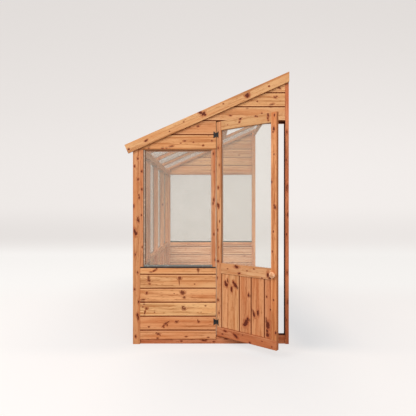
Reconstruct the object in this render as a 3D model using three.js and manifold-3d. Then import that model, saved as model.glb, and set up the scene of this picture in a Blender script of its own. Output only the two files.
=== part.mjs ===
// A softwood lean-to greenhouse: a gable with a door, a long glazed front wall, a far gable and a glazed roof.
// Millimetres. +X points to the house wall, +Y along the length away from the door, +Z up.
// The origin is on the underside of the front wall's bottom rail, on its centre line, at mid length.
import * as THREE from "three";
import { mergeVertices } from "three/addons/utils/BufferGeometryUtils.js";
import Module from "manifold-3d";

const wasm = await Module();
wasm.setup();

// Overall size
const width = 1220;
const length = 2284;
const roofPitchDegrees = 24;
const bays = 4;

// Timber stock, boards and glass
const stockWide = 44;
const stockThin = 28;
const boardThick = 11;
const boardPitch = 109.2;
const grooveWide = 8;
const grooveDeep = 4;
const paneThick = 4;
const paneInset = 2;
const fitGap = 0.3;

// Heights of the walls, from the ground
const bottomRailHigh = 68;
const claddingFoot = 37;
const firstJointHigh = 110;
const claddingTop = 595;
const sillHigh = 606;
const doorHeadHigh = 1749;
const doorHeadroom = 86;
const plateHigh = 59;
const headReveal = 11;

// Door leaf
const doorWide = 537;
const doorEdgeGap = 2.5;
const doorFoot = 70;
const doorTop = 1737;
const doorStopLap = 4;
const doorStopGap = 2;
const doorStileWide = 45;
const doorTopRailHigh = 69;
const doorLockRailFoot = 559;
const doorLockRailHigh = 79;
const doorBottomRailHigh = 68;
const doorBoardInset = 8;
const doorPaneInset = 12;
const doorFirstBoardWide = 65;
const doorOpenDegrees = 40.3;

// Turned knob, standing out of the door's face
const knobNeckRadius = 10;
const knobNeckLong = 8;
const knobRadius = 22.5;
const knobProud = 38;
const knobCentreHigh = 598;
const knobSides = 24;
const knobRings = 8;

// Butterfly hinges of the door
const hingeLeafLong = 21;
const hingeLeafThick = 2;
const hingeEndHigh = 54;
const hingeWaistHigh = 28;
const barrelRadius = 3.5;
const barrelSides = 16;
const lowerHingeHigh = 175;
const upperHingeHigh = 1637;

// Roof
const bargeThick = 18;
const bargeWide = 72;
const bargeProud = 7;
const bargeTailOut = 63;
const rafterTailOut = 45;
const roofPaneTailOut = 58;
const roofPaneGap = 3;
const ridgeRailDeep = 42;

// Roof vent
const ventOpeningLong = 429;
const ventLap = 25;
const ventSideGap = 3;
const ventFrameThick = 22;
const ventPaneInset = 8;
const ventAxisBack = 22;
const ventHingeLeafLong = 17;
const ventHingeShare = 0.8;
const ventOpenDegrees = 30;

// Casement stay that props the vent
const stayHalfWide = 8;
const stayThick = 4;
const stayPivotGap = 1;
const stayTipDrop = 8;
const stayRoundSteps = 10;

// Overrun of every cutting tool past the piece it cuts
const cutOverrun = 5;

// Places across the width
const frontIn = stockWide / 2;
const frontOut = -frontIn;
const outside = frontOut - boardThick;
const houseWall = outside + width;
const nearPostIn = houseWall - stockThin;
const farPostIn = houseWall - stockWide;
const hingeStudOut = nearPostIn - doorWide - 2 * doorEdgeGap;
const hingeStudIn = hingeStudOut - stockThin;
const cornerStudIn = frontIn + stockThin;

// Depths behind a gable's outer face
const wallDeep = boardThick + stockWide;
const cornerPostDeep = boardThick + stockThin;

// Places along the length
const bayPitch = length / bays;
const postIn = length / 2 - cornerPostDeep;

const ventBay = bays / 2;

// Heights that the roof brings, measured from the rafters' underside over the doorway's hinge side
const roofPitch = THREE.MathUtils.degToRad(roofPitchDegrees);
const roofRise = Math.tan(roofPitch);
const eavesHigh = doorHeadHigh + doorHeadroom - (hingeStudOut - frontIn) * roofRise;
const headHigh = eavesHigh - plateHigh;
const gableCladdingFoot = headHigh + headReveal;

const greenhouse = new THREE.Group();

// Colours of the finishes
const finishes = {
  cladding: { color: 0xd29261, roughness: 0.62, metalness: 0 },
  frame: { color: 0xcd885a, roughness: 0.62, metalness: 0 },
  barge: { color: 0xdea876, roughness: 0.62, metalness: 0 },
  knob: { color: 0xe6b48c, roughness: 0.5, metalness: 0 },
  glass: { color: 0xdfe8ea, roughness: 0.05, metalness: 0, transparent: true, opacity: 0.3 },
  iron: { color: 0x1c1b1b, roughness: 0.45, metalness: 0.6 },
};

function addMesh(parent, name, geometry, finish) {
  const mesh = new THREE.Mesh(geometry, new THREE.MeshStandardMaterial(finishes[finish]));
  mesh.name = name;
  parent.add(mesh);
  return mesh;
}

function boxBetween(low, high) {
  const size = high.map((value, axis) => value - low[axis]);
  const box = new THREE.BoxGeometry(...size);
  return box.translate(...low.map((value, axis) => value + size[axis] / 2));
}

// A square-cut timber or pane from its lowest corner to its highest
function block(parent, name, low, high, finish) {
  return addMesh(parent, name, boxBetween(low, high), finish);
}

function extruded(points, depth) {
  const shape = new THREE.Shape(points.map(([x, y]) => new THREE.Vector2(x, y)));
  return new THREE.ExtrudeGeometry(shape, { depth, bevelEnabled: false });
}

// An outline of (x, z) points made solid from one y to another
function alongY(points, low, high) {
  const solid = extruded(points, high - low);
  solid.rotateX(Math.PI / 2);
  return solid.translate(0, high, 0);
}

// An outline of (y, z) points made solid from one x to another
function alongX(points, low, high) {
  const solid = extruded(points, high - low);
  solid.rotateX(Math.PI / 2);
  solid.rotateZ(Math.PI / 2);
  return solid.translate(low, 0, 0);
}

function toManifold(geometry) {
  const bare = geometry.index ? geometry.toNonIndexed() : geometry.clone();
  bare.deleteAttribute("normal");
  bare.deleteAttribute("uv");
  const merged = mergeVertices(bare);
  return new wasm.Manifold(
    new wasm.Mesh({
      numProp: 3,
      vertProperties: merged.attributes.position.array,
      triVerts: new Uint32Array(merged.index.array),
    }),
  );
}

function toGeometry(solid) {
  const mesh = solid.getMesh();
  const geometry = new THREE.BufferGeometry();
  geometry.setAttribute("position", new THREE.BufferAttribute(mesh.vertProperties, 3));
  geometry.setIndex(new THREE.BufferAttribute(mesh.triVerts, 1));
  geometry.computeVertexNormals();
  return geometry;
}

function cut(geometry, tools) {
  return toGeometry(tools.reduce((rest, tool) => rest.subtract(toManifold(tool)), toManifold(geometry)));
}

function join(geometries) {
  return toGeometry(geometries.map(toManifold).reduce((sum, next) => sum.add(next)));
}

function rectangle(left, right, foot, top) {
  return [
    [left, foot],
    [right, foot],
    [right, top],
    [left, top],
  ];
}

// A point of the roof's section: s runs up the slope from over the front wall's inner face,
// n stands square to the slope from the underside of the rafters
function slopePoint(s, n) {
  const x = frontIn + s * Math.cos(roofPitch) - n * Math.sin(roofPitch);
  const z = eavesHigh + s * Math.sin(roofPitch) + n * Math.cos(roofPitch);
  return [x, z];
}

// Distance up the slope at which height n above it stands over a place x
function slopeAt(x, n) {
  return (x - frontIn + n * Math.sin(roofPitch)) / Math.cos(roofPitch);
}

// Height of the plane n above the rafters' underside, over a place x
function roofHigh(x, n) {
  return eavesHigh + (x - frontIn) * roofRise + n / Math.cos(roofPitch);
}

// A timber or pane lying up the slope, its lower end cut square and its upper end plumb
function slopeOutline(tailOut, upperEnd, low, high) {
  const tail = slopeAt(outside - tailOut, high);
  return [
    slopePoint(tail, low),
    slopePoint(slopeAt(upperEnd, low), low),
    slopePoint(slopeAt(upperEnd, high), high),
    slopePoint(tail, high),
  ];
}

// An upright from a foot to the underside of the rafters, its top cut to the slope
function uprightOutline(left, right, foot) {
  return [
    [left, foot],
    [right, foot],
    [right, roofHigh(right, -fitGap)],
    [left, roofHigh(left, -fitGap)],
  ];
}

// The y range between two depths behind a gable's outer face; side is -1 at the door and 1 at the far end
function gableRange(side, depths) {
  return depths.map((depth) => side * (length / 2 - depth)).sort((a, b) => a - b);
}

function gableBlock(name, side, xs, depths, zs, finish) {
  const [low, high] = gableRange(side, depths);
  return block(greenhouse, name, [xs[0], low, zs[0]], [xs[1], high, zs[1]], finish);
}

function gablePrism(name, side, outline, depths, finish) {
  return addMesh(greenhouse, name, alongY(outline, ...gableRange(side, depths)), finish);
}

// Half the width of a groove's cutter where it clears the board's face
const grooveMouth = ((grooveWide / 2) * (grooveDeep + cutOverrun)) / grooveDeep;

// A V groove along x: the board's outer face is on y = 0 and looks along -Y
function boardGroove(z, left, right) {
  const outline = [
    [-cutOverrun, z - grooveMouth],
    [grooveDeep, z],
    [-cutOverrun, z + grooveMouth],
  ];
  return alongX(outline, left - cutOverrun, right + cutOverrun);
}

// Matched boards, nailed edge to edge: an outline of (x, z) points with a groove at every joint
function boarding(outline) {
  const across = outline.map(([x]) => x);
  const heights = outline.map(([, z]) => z);
  const grooves = [];
  for (let z = firstJointHigh; z < Math.max(...heights); z += boardPitch) {
    if (z > Math.min(...heights) + grooveWide) {
      grooves.push(boardGroove(z, Math.min(...across), Math.max(...across)));
    }
  }
  return cut(alongY(outline, 0, boardThick - fitGap), grooves);
}

// Boards of a gable; those of the far one are mirrored and turned round
function gableBoarding(name, side, outline) {
  const seen = side < 0 ? outline : outline.map(([x, z]) => [-x, z]).reverse();
  const mesh = addMesh(greenhouse, name, boarding(seen), "cladding");
  mesh.position.y = (side * length) / 2;
  mesh.rotation.z = side < 0 ? 0 : Math.PI;
}

// Front wall

function bayLine(index) {
  return index * bayPitch - length / 2;
}

function frontPosts() {
  const ends = postIn - fitGap;
  const outline = uprightOutline(outside, frontIn, headHigh);
  block(greenhouse, "front_bottom_rail", [frontOut, -ends, 0], [frontIn, ends, bottomRailHigh], "frame");
  addMesh(greenhouse, "front_top_rail", alongY(outline, -ends, ends), "frame");
}

// The sill rail and the studs cross in halved joints: the rail keeps its inner half, the studs their outer half
function frontSillAndStuds() {
  const ends = postIn - fitGap;
  const sillFoot = sillHigh - stockThin;
  const notches = [];
  for (let index = 1; index < bays; index += 1) {
    const left = bayLine(index) - stockThin / 2;
    const right = left + stockThin;
    const railNotch = boxBetween(
      [frontOut - cutOverrun, left - fitGap, sillFoot - cutOverrun],
      [fitGap, right + fitGap, sillHigh + cutOverrun],
    );
    const studNotch = boxBetween(
      [0, left - cutOverrun, sillFoot - fitGap],
      [frontIn + cutOverrun, right + cutOverrun, sillHigh + fitGap],
    );
    const stud = boxBetween([frontOut, left, bottomRailHigh + fitGap], [frontIn, right, headHigh - fitGap]);
    addMesh(greenhouse, `front_stud_${index}`, cut(stud, [studNotch]), "frame");
    notches.push(railNotch);
  }
  const rail = boxBetween([frontOut, -ends, sillFoot], [frontIn, ends, sillHigh]);
  addMesh(greenhouse, "front_sill_rail", cut(rail, notches), "frame");
}

function frontBoards() {
  const ends = postIn - fitGap;
  const boards = boarding(rectangle(-ends, ends, claddingFoot, claddingTop));
  const mesh = addMesh(greenhouse, "front_cladding", boards, "cladding");
  mesh.position.x = outside;
  mesh.rotation.z = -Math.PI / 2;
}

function frontPanes() {
  const face = frontOut + paneInset;
  for (let index = 0; index < bays; index += 1) {
    const left = Math.max(bayLine(index) + stockThin / 2, -postIn) + fitGap;
    const right = Math.min(bayLine(index + 1) - stockThin / 2, postIn) - fitGap;
    const low = [face, left, sillHigh + fitGap];
    const high = [face + paneThick, right, headHigh - fitGap];
    block(greenhouse, `front_glass_${index + 1}`, low, high, "glass");
  }
}

// Pieces that both gables have

function gableEnd(end, side, postAt) {
  const corner = uprightOutline(outside, frontIn, 0);
  const post = uprightOutline(postAt, houseWall, 0);
  const stud = uprightOutline(frontIn + fitGap, cornerStudIn, bottomRailHigh + fitGap);
  const rafter = slopeOutline(rafterTailOut, houseWall, 0, stockThin);
  const bargeTop = stockThin + bargeProud;
  const barge = slopeOutline(bargeTailOut, houseWall, bargeTop - bargeWide, bargeTop);
  const rail = [frontIn + fitGap, postAt - fitGap];
  const deep = [boardThick, wallDeep];
  gablePrism(`${end}_corner_post`, side, corner, [0, cornerPostDeep], "frame");
  gablePrism(`${end}_wall_post`, side, post, [0, wallDeep], "frame");
  gablePrism(`${end}_corner_stud`, side, stud, deep, "frame");
  gableBlock(`${end}_bottom_rail`, side, rail, deep, [0, bottomRailHigh], "frame");
  gablePrism(`${end}_gable_rafter`, side, rafter, deep, "frame");
  gablePrism(`${end}_barge_board`, side, barge, [-fitGap - bargeThick, -fitGap], "barge");
}

// Sill, head and pane of a gable window that runs from the corner stud to another upright
function gableWindow(end, side, right) {
  const across = [cornerStudIn + fitGap, right - fitGap];
  const deep = [boardThick, wallDeep];
  const paneFace = boardThick + paneInset;
  const pane = [paneFace, paneFace + paneThick];
  gableBlock(`${end}_window_sill`, side, across, deep, [sillHigh - stockThin, sillHigh], "frame");
  gableBlock(`${end}_window_head`, side, across, deep, [headHigh, headHigh + stockThin], "frame");
  gableBlock(`${end}_window_glass`, side, across, pane, [sillHigh + fitGap, headHigh - fitGap], "glass");
}

// The boards under the window, and those over it up to the top of the rafters
function gableBoards(end, side, right, upperFoot) {
  const left = frontIn + fitGap;
  const lower = rectangle(left, right, claddingFoot, claddingTop);
  const lastFoot = upperFoot[upperFoot.length - 1];
  const upper = [
    [left, gableCladdingFoot],
    ...upperFoot,
    [lastFoot[0], roofHigh(lastFoot[0], stockThin - fitGap)],
    [left, roofHigh(left, stockThin - fitGap)],
  ];
  gableBoarding(`${end}_lower_cladding`, side, lower);
  gableBoarding(`${end}_upper_cladding`, side, upper);
}

// The lintel's back half comes lower, as a stop behind the door's top
function doorLintel() {
  const left = hingeStudOut + fitGap;
  const right = nearPostIn - fitGap;
  const front = -length / 2 + boardThick;
  const back = -length / 2 + wallDeep;
  const stopFace = -length / 2 + stockThin + doorStopGap;
  const outline = [
    [front, doorHeadHigh],
    [stopFace, doorHeadHigh],
    [stopFace, doorTop - doorStopLap],
    [back, doorTop - doorStopLap],
    [back, doorHeadHigh + stockThin],
    [front, doorHeadHigh + stockThin],
  ];
  addMesh(greenhouse, "door_lintel", alongX(outline, left, right), "frame");
}

function nearGable() {
  const side = -1;
  const stud = uprightOutline(hingeStudIn, hingeStudOut, bottomRailHigh + fitGap);
  gableEnd("near", side, nearPostIn);
  gableWindow("near", side, hingeStudIn);
  gablePrism("hinge_stud", side, stud, [boardThick, wallDeep], "frame");
  doorLintel();
  gableBoards("near", side, hingeStudOut, [
    [hingeStudOut, gableCladdingFoot],
    [hingeStudOut, doorHeadHigh],
    [nearPostIn - fitGap, doorHeadHigh],
  ]);
}

function farGable() {
  const side = 1;
  const right = farPostIn - fitGap;
  gableEnd("far", side, farPostIn);
  gableWindow("far", side, farPostIn);
  gableBoards("far", side, right, [[right, gableCladdingFoot]]);
}

// Roof

const trimmerTop = slopeAt(nearPostIn, 0) - ventOpeningLong;
const ventClearLow = bayLine(ventBay) + stockWide / 2 + fitGap;
const ventClearHigh = bayLine(ventBay + 1) - stockWide / 2 - fitGap;

function rafters() {
  const outline = slopeOutline(rafterTailOut, houseWall, 0, stockThin);
  for (let index = 1; index < bays; index += 1) {
    const solid = alongY(outline, bayLine(index) - stockWide / 2, bayLine(index) + stockWide / 2);
    addMesh(greenhouse, `rafter_${index}`, solid, "frame");
  }
}

// The rail along the house wall, raised between two rafters to carry the vent's hinge
function ridgeRail() {
  const ends = length / 2 - wallDeep - fitGap;
  const foot = roofHigh(nearPostIn, 0) - ridgeRailDeep;
  const rail = alongY(uprightOutline(nearPostIn, houseWall, foot), -ends, ends);
  const seat = [
    [nearPostIn, foot],
    [houseWall, foot],
    [houseWall, roofHigh(houseWall, stockThin)],
    [nearPostIn, roofHigh(nearPostIn, stockThin)],
  ];
  addMesh(greenhouse, "ridge_rail", join([rail, alongY(seat, ventClearLow, ventClearHigh)]), "frame");
}

function ventTrimmer() {
  const foot = trimmerTop - stockWide;
  const outline = [
    slopePoint(foot, 0),
    slopePoint(trimmerTop, 0),
    slopePoint(trimmerTop, stockThin),
    slopePoint(foot, stockThin),
  ];
  addMesh(greenhouse, "vent_trimmer", alongY(outline, ventClearLow, ventClearHigh), "frame");
}

function roofPanes() {
  const low = stockThin + fitGap;
  const high = low + paneThick;
  const full = slopeOutline(roofPaneTailOut, houseWall, low, high);
  const shortEnd = trimmerTop - ventLap - roofPaneGap;
  const short = [full[0], slopePoint(shortEnd, low), slopePoint(shortEnd, high), full[3]];
  for (let index = 0; index < bays; index += 1) {
    const left = index === 0 ? -length / 2 : bayLine(index) + roofPaneGap / 2;
    const right = index === bays - 1 ? length / 2 : bayLine(index + 1) - roofPaneGap / 2;
    const outline = index === ventBay ? short : full;
    addMesh(greenhouse, `roof_glass_${index + 1}`, alongY(outline, left, right), "glass");
  }
}

// The vent turns about the barrel of its hinge; its own x runs up the slope when it is shut

const ventAxisAlong = slopeAt(houseWall, stockThin) - ventAxisBack;
const ventAxisUp = stockThin + fitGap + barrelRadius;
const ventTurn = THREE.MathUtils.degToRad(ventOpenDegrees) - roofPitch;
const ventLower = trimmerTop - ventLap - ventAxisAlong;
const ventUpper = -barrelRadius - fitGap;
const ventBottom = -barrelRadius;
const ventLow = bayLine(ventBay) + ventSideGap;
const ventHigh = bayLine(ventBay + 1) - ventSideGap;
const ventMiddle = (ventLow + ventHigh) / 2;

function ventGroup(turn) {
  const [x, z] = slopePoint(ventAxisAlong, ventAxisUp);
  const group = new THREE.Group();
  group.position.set(x, 0, z);
  group.rotation.y = turn;
  greenhouse.add(group);
  return group;
}

function vent() {
  const group = ventGroup(ventTurn);
  const inLow = [ventLower + stockWide, ventLow + stockWide];
  const inHigh = [ventUpper - stockWide, ventHigh - stockWide];
  const top = ventBottom + ventFrameThick;
  const paneFoot = ventBottom + ventPaneInset;
  const outer = boxBetween([ventLower, ventLow, ventBottom], [ventUpper, ventHigh, top]);
  const inner = boxBetween([...inLow, ventBottom - cutOverrun], [...inHigh, top + cutOverrun]);
  const paneLow = [...inLow.map((value) => value + fitGap), paneFoot];
  const paneHigh = [...inHigh.map((value) => value - fitGap), paneFoot + paneThick];
  addMesh(group, "vent_frame", cut(outer, [inner]), "frame");
  block(group, "vent_glass", paneLow, paneHigh, "glass");
}

// A long hinge: its leaf lies on the ridge rail, its barrel along the leaf's lower edge
function ventHinge() {
  const group = ventGroup(-roofPitch);
  const half = (ventHigh / 2 - ventLow / 2 - stockWide) * ventHingeShare;
  const barrel = new THREE.CylinderGeometry(barrelRadius, barrelRadius, 2 * half, barrelSides);
  const leaf = boxBetween(
    [0, ventMiddle - half, -barrelRadius],
    [ventHingeLeafLong, ventMiddle + half, hingeLeafThick - barrelRadius],
  );
  addMesh(group, "vent_hinge", join([barrel.translate(0, ventMiddle, 0), leaf]), "iron");
}

// The stay hangs from under the vent's lower rail and leans on the trimmer's upper edge
function ventStay() {
  const [axisX, axisZ] = slopePoint(ventAxisAlong, ventAxisUp);
  const along = ventLower + ventLap + stayHalfWide + stayPivotGap;
  const up = ventBottom - stayHalfWide - fitGap;
  const pivotX = axisX + along * Math.cos(ventTurn) + up * Math.sin(ventTurn);
  const pivotZ = axisZ - along * Math.sin(ventTurn) + up * Math.cos(ventTurn);
  const [tipX, tipZ] = slopePoint(trimmerTop + stayHalfWide + fitGap, stockThin - stayTipDrop);
  const long = Math.hypot(tipX - pivotX, tipZ - pivotZ);
  const outline = new THREE.Shape();
  outline.moveTo(long, -stayHalfWide);
  outline.lineTo(long, stayHalfWide);
  outline.absarc(0, 0, stayHalfWide, Math.PI / 2, (3 * Math.PI) / 2, false);
  const options = { depth: stayThick, bevelEnabled: false, curveSegments: stayRoundSteps };
  const bar = new THREE.ExtrudeGeometry(outline, options);
  bar.rotateX(Math.PI / 2);
  bar.translate(0, stayThick / 2, 0);
  const mesh = addMesh(greenhouse, "vent_stay", bar, "iron");
  mesh.position.set(pivotX, ventMiddle, pivotZ);
  mesh.rotation.y = -Math.atan2(tipZ - pivotZ, tipX - pivotX);
}

// Door: its own x runs from the hinge axis to the latch side, its y from the axis inwards

const doorFace = barrelRadius + fitGap;
const doorBack = doorFace + stockThin;
const doorLeft = doorEdgeGap / 2;
const doorRight = doorLeft + doorWide;
const panelLeft = doorLeft + doorStileWide + fitGap;
const panelRight = doorRight - doorStileWide - fitGap;
const bottomRailTop = doorFoot + doorBottomRailHigh;
const topRailFoot = doorTop - doorTopRailHigh;
const lockRailTop = doorLockRailFoot + doorLockRailHigh;
const hingeAxisX = hingeStudOut + doorEdgeGap / 2;
const hingeAxisY = -length / 2 - doorFace;

function doorTimber(group, name, xs, zs) {
  block(group, name, [xs[0], doorFace, zs[0]], [xs[1], doorBack, zs[1]], "frame");
}

function door() {
  const group = new THREE.Group();
  const stileHeights = [bottomRailTop + fitGap, doorTop];
  group.position.set(hingeAxisX, hingeAxisY, 0);
  group.rotation.z = -THREE.MathUtils.degToRad(doorOpenDegrees);
  greenhouse.add(group);
  doorTimber(group, "door_hinge_stile", [doorLeft, doorLeft + doorStileWide], stileHeights);
  doorTimber(group, "door_latch_stile", [doorRight - doorStileWide, doorRight], stileHeights);
  doorTimber(group, "door_top_rail", [panelLeft, panelRight], [topRailFoot, doorTop]);
  doorTimber(group, "door_lock_rail", [panelLeft, panelRight], [doorLockRailFoot, lockRailTop]);
  doorTimber(group, "door_bottom_rail", [doorLeft, doorRight], [doorFoot, bottomRailTop]);
  doorBoards(group);
  doorPane(group);
  doorKnob(group);
  addHinge(group, "lower", lowerHingeHigh);
  addHinge(group, "upper", upperHingeHigh);
}

// Upright matched boards below the lock rail
function doorBoards(group) {
  const face = doorFace + doorBoardInset;
  const foot = bottomRailTop + fitGap;
  const top = doorLockRailFoot - fitGap;
  const grooves = [];
  for (let x = doorLeft + doorStileWide + doorFirstBoardWide; x < panelRight - grooveWide; x += boardPitch) {
    const outline = [
      [x - grooveMouth, -cutOverrun],
      [x + grooveMouth, -cutOverrun],
      [x, grooveDeep],
    ];
    const groove = extruded(outline, top - foot + 2 * cutOverrun);
    grooves.push(groove.translate(0, face, foot - cutOverrun));
  }
  const boards = boxBetween([panelLeft, face, foot], [panelRight, face + boardThick, top]);
  addMesh(group, "door_boards", cut(boards, grooves), "cladding");
}

function doorPane(group) {
  const face = doorFace + doorPaneInset;
  const low = [panelLeft, face, lockRailTop + fitGap];
  const high = [panelRight, face + paneThick, topRailFoot - fitGap];
  block(group, "door_glass", low, high, "glass");
}

// A turned knob: a short neck and a round head, flattened where the head meets the neck
function doorKnob(group) {
  const headHalf = (knobProud - knobNeckLong) / 2;
  const start = Math.asin(knobNeckRadius / knobRadius);
  const profile = [new THREE.Vector2(0, 0), new THREE.Vector2(knobNeckRadius, 0)];
  for (let ring = 0; ring < knobRings; ring += 1) {
    const turn = start + ((Math.PI - start) * ring) / knobRings;
    const along = knobNeckLong + headHalf - headHalf * Math.cos(turn);
    profile.push(new THREE.Vector2(knobRadius * Math.sin(turn), along));
  }
  profile.push(new THREE.Vector2(0, knobProud));
  const knob = new THREE.LatheGeometry(profile, knobSides);
  knob.rotateX(Math.PI);
  const mesh = addMesh(group, "door_knob", knob, "knob");
  mesh.position.set(doorRight - doorStileWide / 2, doorFace - fitGap, knobCentreHigh);
}

// One leaf of a butterfly hinge, narrow at the barrel and wide at its outer end; side 1 lies on the door
function hingeLeaf(side, inner, centre) {
  const outline = [
    [side * inner, centre - hingeWaistHigh / 2],
    [side * hingeLeafLong, centre - hingeEndHigh / 2],
    [side * hingeLeafLong, centre + hingeEndHigh / 2],
    [side * inner, centre + hingeWaistHigh / 2],
  ];
  const ordered = side < 0 ? outline.reverse() : outline;
  return alongY(ordered, barrelRadius - hingeLeafThick, barrelRadius);
}

// The frame's leaf carries the barrel
function addHinge(group, name, centre) {
  const barrel = new THREE.CylinderGeometry(barrelRadius, barrelRadius, hingeWaistHigh, barrelSides);
  barrel.rotateX(Math.PI / 2);
  barrel.translate(0, 0, centre);
  const frameLeaf = join([hingeLeaf(-1, 0, centre), barrel]);
  const mesh = addMesh(greenhouse, `${name}_hinge_frame_leaf`, frameLeaf, "iron");
  mesh.position.set(hingeAxisX, hingeAxisY, 0);
  const doorLeaf = hingeLeaf(1, barrelRadius + fitGap, centre);
  addMesh(group, `${name}_hinge_door_leaf`, doorLeaf, "iron");
}

frontPosts();
frontSillAndStuds();
frontBoards();
frontPanes();
nearGable();
farGable();
rafters();
ridgeRail();
ventTrimmer();
roofPanes();
vent();
ventHinge();
ventStay();
door();

export default greenhouse;
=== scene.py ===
import math

import bmesh
import bpy
from mathutils import Matrix, Vector


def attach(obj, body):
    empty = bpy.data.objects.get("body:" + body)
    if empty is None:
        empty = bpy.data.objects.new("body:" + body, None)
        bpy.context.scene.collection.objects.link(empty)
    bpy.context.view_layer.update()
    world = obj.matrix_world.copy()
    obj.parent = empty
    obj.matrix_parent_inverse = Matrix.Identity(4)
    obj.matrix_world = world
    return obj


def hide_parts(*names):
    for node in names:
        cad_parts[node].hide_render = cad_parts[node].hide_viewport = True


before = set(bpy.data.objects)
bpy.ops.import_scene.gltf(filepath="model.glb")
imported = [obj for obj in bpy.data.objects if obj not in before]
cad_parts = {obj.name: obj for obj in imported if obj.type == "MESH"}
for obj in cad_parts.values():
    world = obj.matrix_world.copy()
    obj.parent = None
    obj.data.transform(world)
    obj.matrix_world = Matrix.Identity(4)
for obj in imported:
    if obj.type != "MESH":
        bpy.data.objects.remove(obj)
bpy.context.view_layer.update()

# ---- Camera, at the photograph's viewpoint ----

view_camera = bpy.data.objects.new("photo_camera", bpy.data.cameras.new("photo_camera"))
view_camera.data.lens = 35.0
view_camera.data.sensor_width = 36.0
view_camera.data.clip_end = 60.0
view_camera.location = (0.5545, -4.3056, 1.065)
view_camera.rotation_euler = (math.radians(90), 0, 0)
bpy.context.collection.objects.link(view_camera)
bpy.context.scene.camera = view_camera

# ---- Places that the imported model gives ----

MM = 0.001
NEAR = -1.142  # outer face of the door gable's boards
FAR = 1.142  # outer face of the far gable's boards
OUTSIDE = -0.033  # outer face of the long wall's boards
FRONT_IN = 0.022  # the gables' boards start here, beside the corner posts
HOUSE = 1.187  # face of the house wall
HINGE_STUD_OUT = 0.617  # the doorway runs from here
NEAR_POST_IN = 1.159  # to here
FAR_BOARDS_END = 1.1427  # beside the far wall post
DOOR_HEAD = 1.749
BOARD_PITCH = 0.1092
FIRST_JOINT = 0.110
BOARD_THICK = 0.0107
CLADDING_FOOT = 0.037
CLADDING_TOP = 0.595
GABLE_FOOT = 1.52209  # foot of the boards over the windows
PITCH = math.radians(24)
EAVES = 1.57009  # the rafters' underside, at FRONT_IN
STOCK_THIN = 0.028
WINDOW_LEFT = 0.0506
WINDOW_RIGHT = 0.5886
SILL_TOP = 0.6048
HEAD_FOOT = 1.5216  # underside of the window heads

# Places of pieces that stand turned: where each one's own zero lies, and its turn about X, Y and Z
LEVEL = ((0, 0, 0), (0, 0, 0))
DOOR = ((0.61825, -1.1458, 0), (0, 0, -math.radians(40.3)))
SLOPE = ((FRONT_IN, 0, EAVES), (0, -PITCH, 0))
VENT = ((1.165356, 0, 2.113953), (0, math.radians(6), 0))
DOOR_FACE = 0.0038  # the door's front, in its own place

SKIN = 0.0003  # added pieces keep clear of the solids beside them by this
TOUCH = 0.001  # a point this near a face lies on it


def placing(place):
    """The matrix that brings a piece from its own place, such as the door's, to the model's frame."""
    where, turn = place
    matrix = Matrix.Translation(where)
    for axis, angle in zip("XYZ", turn):
        matrix = matrix @ Matrix.Rotation(angle, 4, axis)
    return matrix


def roof_height(x, above=0.0):
    """Height of the plane that lies `above` over the rafters' underside, at a place x."""
    return EAVES + (x - FRONT_IN) * math.tan(PITCH) + above / math.cos(PITCH)


# ---- Materials: shader maths written as plain arithmetic ----


def linear(red, green, blue):
    """A colour read off as 0 to 255, as the shader wants it."""
    levels = [value / 255 for value in (red, green, blue)]
    return tuple(v / 12.92 if v <= 0.04045 else ((v + 0.055) / 1.055) ** 2.4 for v in levels) + (1.0,)


def tinted(shade, by):
    """A colour with its red, green and blue multiplied, no lighter than white."""
    return tuple(min(1.0, level * times) for level, times in zip(shade, (*by, 1)))


class Number:
    """A socket used in arithmetic: each operator adds its Math node."""

    def __init__(self, recipe, socket):
        self.recipe, self.socket = recipe, socket

    def __add__(self, other):
        return self.recipe.math("ADD", self, other)

    def __sub__(self, other):
        return self.recipe.math("SUBTRACT", self, other)

    def __rsub__(self, other):
        return self.recipe.math("SUBTRACT", other, self)

    def __mul__(self, other):
        return self.recipe.math("MULTIPLY", self, other)

    def __truediv__(self, other):
        return self.recipe.math("DIVIDE", self, other)

    def __rtruediv__(self, other):
        return self.recipe.math("DIVIDE", other, self)

    def __pow__(self, other):
        return self.recipe.math("POWER", self, other)

    def __abs__(self):
        return self.recipe.math("ABSOLUTE", self)

    __radd__ = __add__
    __rmul__ = __mul__


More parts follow.
